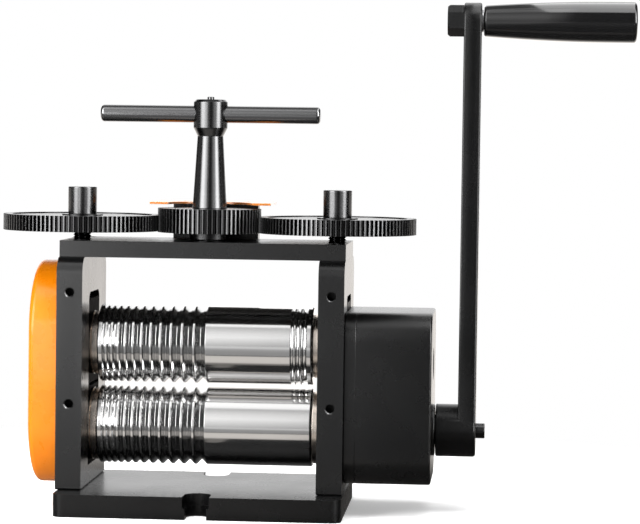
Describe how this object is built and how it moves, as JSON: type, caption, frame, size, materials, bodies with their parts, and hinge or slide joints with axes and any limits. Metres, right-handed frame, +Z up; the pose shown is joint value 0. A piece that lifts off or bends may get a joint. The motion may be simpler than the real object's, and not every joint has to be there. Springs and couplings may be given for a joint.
{
  "type": "rolling mill",
  "caption": "Bench rolling mill with grooved rolls between uprights, a geared T-handle that sets the roll gap, a side gearbox and a long hand crank.",
  "frame": {"origin": "on the bench under the base, midway between the uprights and under the axes of the rolls", "axes": "+X along the rolls towards the crank, +Y away from the operator, +Z up"},
  "size_m": [0.4179, 0.1348, 0.3377],
  "materials": {
    "black_paint": "satin black enamel",
    "orange_paint": "glossy orange enamel",
    "black_oxide": "turned steel, black oxide",
    "gear_steel": "dark cut steel, lightly oiled",
    "ground_steel": "ground and polished",
    "machined_steel": "fine turned and milled",
    "bronze": "turned bronze",
    "spring_steel": "drawn wire",
    "black_plastic": "gloss black"
  },
  "bodies": {
    "frame": {"base_plate": "black_paint", "left_upright": "black_paint", "right_upright": "black_paint", "top_plate": "black_paint", "base_screw_front_left": "black_oxide", "base_screw_back_left": "black_oxide", "base_screw_front_right": "black_oxide", "base_screw_back_right": "black_oxide", "top_plate_screw_front_left": "black_oxide", "top_plate_screw_back_left": "black_oxide", "top_plate_screw_front_right": "black_oxide", "top_plate_screw_back_right": "black_oxide", "lower_left_block": "machined_steel", "lower_right_block": "machined_steel", "lower_left_bushing": "bronze", "lower_right_bushing": "bronze", "return_spring_front_left": "spring_steel", "return_spring_back_left": "spring_steel", "return_spring_front_right": "spring_steel", "return_spring_back_right": "spring_steel", "left_cover": "orange_paint", "gearbox_flange": "black_paint", "gearbox_housing": "black_paint", "crank_bush": "bronze", "guard_bracket": "black_paint", "guard_plate": "orange_paint"},
    "tee_handle": {"tee_spindle": "black_oxide", "tee_bar": "black_oxide", "tee_screw": "black_oxide", "centre_gear": "gear_steel", "spindle_ring": "spring_steel"},
    "upper_carriage": {"upper_left_block": "machined_steel", "upper_right_block": "machined_steel", "upper_left_bushing": "bronze", "upper_right_bushing": "bronze", "left_thrust_pad": "ground_steel", "right_thrust_pad": "ground_steel"},
    "left_adjuster": {"left_adjusting_screw": "machined_steel", "left_adjusting_gear": "gear_steel", "left_gear_post": "black_oxide"},
    "right_adjuster": {"right_adjusting_screw": "machined_steel", "right_adjusting_gear": "gear_steel", "right_gear_post": "black_oxide"},
    "upper_rotor": {"upper_roll": "ground_steel", "upper_coupling_gear": "gear_steel", "upper_end_bolt": "black_oxide"},
    "lower_rotor": {"lower_roll": "ground_steel", "lower_coupling_gear": "gear_steel", "output_gear": "gear_steel", "lower_end_bolt": "black_oxide", "output_end_bolt": "black_oxide"},
    "layshaft_rotor": {"layshaft": "gear_steel", "layshaft_gear": "gear_steel"},
    "crank": {"crank_shaft": "machined_steel", "crank_arm": "black_paint", "crank_screw": "black_oxide", "grip_bolt": "black_oxide", "grip_nut": "black_oxide", "grip_washer": "machined_steel"},
    "grip": {"grip": "black_plastic"}
  },
  "joints": [
    {"name": "handle_turn", "type": "hinge", "parent": "frame", "child": "tee_handle", "pos_m": [0, 0, 0.19], "axis": [0, 0, 1], "range_deg": [-1057, 646]},
    {"name": "carriage_slide", "type": "slide", "parent": "frame", "child": "upper_carriage", "axis": [0, 0, 1], "range_m": [-0.00205, 0.00335], "deforming": ["return_spring_front_left", "return_spring_back_left", "return_spring_front_right", "return_spring_back_right"]},
    {"name": "left_screw_turn", "type": "hinge", "parent": "upper_carriage", "child": "left_adjuster", "pos_m": [-0.0852, 0, 0.188], "axis": [0, 0, 1], "range_deg": [-422, 689]},
    {"name": "right_screw_turn", "type": "hinge", "parent": "upper_carriage", "child": "right_adjuster", "pos_m": [0.0852, 0, 0.188], "axis": [0, 0, 1], "range_deg": [-422, 689]},
    {"name": "upper_roll_turn", "type": "hinge", "parent": "upper_carriage", "child": "upper_rotor", "pos_m": [0, 0, 0.10755], "axis": [1, 0, 0], "continuous": true},
    {"name": "lower_roll_turn", "type": "hinge", "parent": "frame", "child": "lower_rotor", "pos_m": [0, 0, 0.0534], "axis": [1, 0, 0], "continuous": true},
    {"name": "layshaft_turn", "type": "hinge", "parent": "frame", "child": "layshaft_rotor", "pos_m": [0.12, 0, 0.0974], "axis": [1, 0, 0], "continuous": true},
    {"name": "crank_turn", "type": "hinge", "parent": "frame", "child": "crank", "pos_m": [0.15, 0, 0.0534], "axis": [1, 0, 0], "continuous": true},
    {"name": "grip_spin", "type": "hinge", "parent": "crank", "child": "grip", "pos_m": [0.23, 0, 0.324], "axis": [1, 0, 0], "continuous": true}
  ],
  "couplings": [
    {"joint": "carriage_slide", "follows": "handle_turn", "m_per_rad": -0.00018117},
    {"joint": "left_screw_turn", "follows": "handle_turn", "ratio": -0.65049},
    {"joint": "right_screw_turn", "follows": "handle_turn", "ratio": -0.65049},
    {"joint": "layshaft_turn", "follows": "crank_turn", "ratio": -0.57143},
    {"joint": "lower_roll_turn", "follows": "crank_turn", "ratio": 0.3956},
    {"joint": "upper_roll_turn", "follows": "crank_turn", "ratio": -0.3956}
  ]
}
